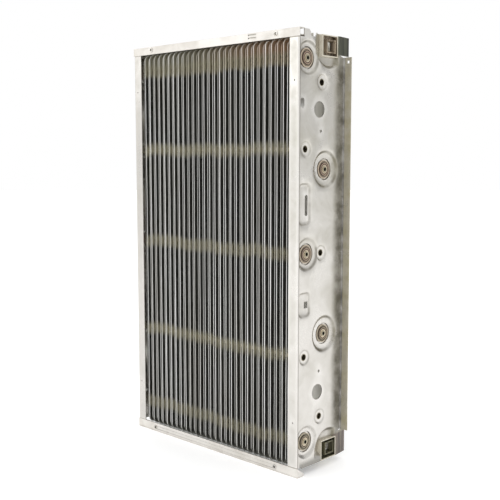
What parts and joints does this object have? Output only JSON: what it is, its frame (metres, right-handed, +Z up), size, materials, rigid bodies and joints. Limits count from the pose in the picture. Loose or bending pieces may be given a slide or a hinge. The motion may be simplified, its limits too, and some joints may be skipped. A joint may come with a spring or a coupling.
{
  "type": "electrostatic air cleaner cell",
  "caption": "Tall electronic air cleaner cell: stamped aluminium frame holding alternating thin grounded and charged plates on insulated tie tubes, with an ionizer wire frame behind.",
  "frame": {"origin": "centre of the bottom of the bounding box", "axes": "+X across the cell to the right seen from the front, +Y from the front face to the ionizer side, +Z up along the plates"},
  "size_m": [0.315, 0.0965, 0.525],
  "materials": {
    "end_plate": "satin, slightly stained mill sheet",
    "front_rail": "satin mill sheet",
    "inner_sheet": "dull mill sheet",
    "collector_plate": "thin rolled sheet with hemmed bright edges",
    "tie_tube": "drawn tube",
    "ring_insulator": "moulded brown insulator, ribbed",
    "square_insulator": "moulded cream and brown insulator",
    "spring_steel": "bright spring steel",
    "ionizer_wire": "fine drawn tungsten wire",
    "eyelet": "bright rolled eyelet"
  },
  "bodies": {
    "root": {"bottom_rail": "front_rail", "bottom_rail_eyelets": "eyelet", "bottom_rail_liner": "inner_sheet", "charged_plates": "collector_plate", "charged_spacers": "tie_tube", "charged_tube_front_bottom": "tie_tube", "charged_tube_front_middle": "tie_tube", "charged_tube_front_top": "tie_tube", "charged_tube_rear_lower": "tie_tube", "charged_tube_rear_upper": "tie_tube", "end_plate_left": "end_plate", "end_plate_right": "end_plate", "ground_end_spacers_left": "tie_tube", "ground_end_spacers_right": "tie_tube", "ground_plates": "collector_plate", "ground_spacers": "tie_tube", "ground_tube_front_lower": "tie_tube", "ground_tube_front_upper": "tie_tube", "ground_tube_rear_bottom": "tie_tube", "ground_tube_rear_middle": "tie_tube", "ground_tube_rear_top": "tie_tube", "insulator_left_front_bottom": "ring_insulator", "insulator_left_front_middle": "ring_insulator", "insulator_left_front_top": "ring_insulator", "insulator_left_rear_lower": "ring_insulator", "insulator_left_rear_upper": "ring_insulator", "insulator_right_front_bottom": "ring_insulator", "insulator_right_front_middle": "ring_insulator", "insulator_right_front_top": "ring_insulator", "insulator_right_rear_lower": "ring_insulator", "insulator_right_rear_upper": "ring_insulator", "ionizer_bar_bottom": "inner_sheet", "ionizer_bar_top": "inner_sheet", "ionizer_ground_strips": "inner_sheet", "ionizer_insulator_bottom_left": "square_insulator", "ionizer_insulator_bottom_right": "square_insulator", "ionizer_insulator_top_left": "square_insulator", "ionizer_insulator_top_right": "square_insulator", "ionizer_wires": "ionizer_wire", "push_nuts_left": "spring_steel", "push_nuts_right": "spring_steel", "rear_rail_bottom": "inner_sheet", "rear_rail_top": "inner_sheet", "top_baffle": "inner_sheet", "top_rail": "front_rail", "top_rail_eyelets": "eyelet", "wire_springs_bottom": "spring_steel", "wire_springs_top": "spring_steel"}
  },
  "joints": []
}
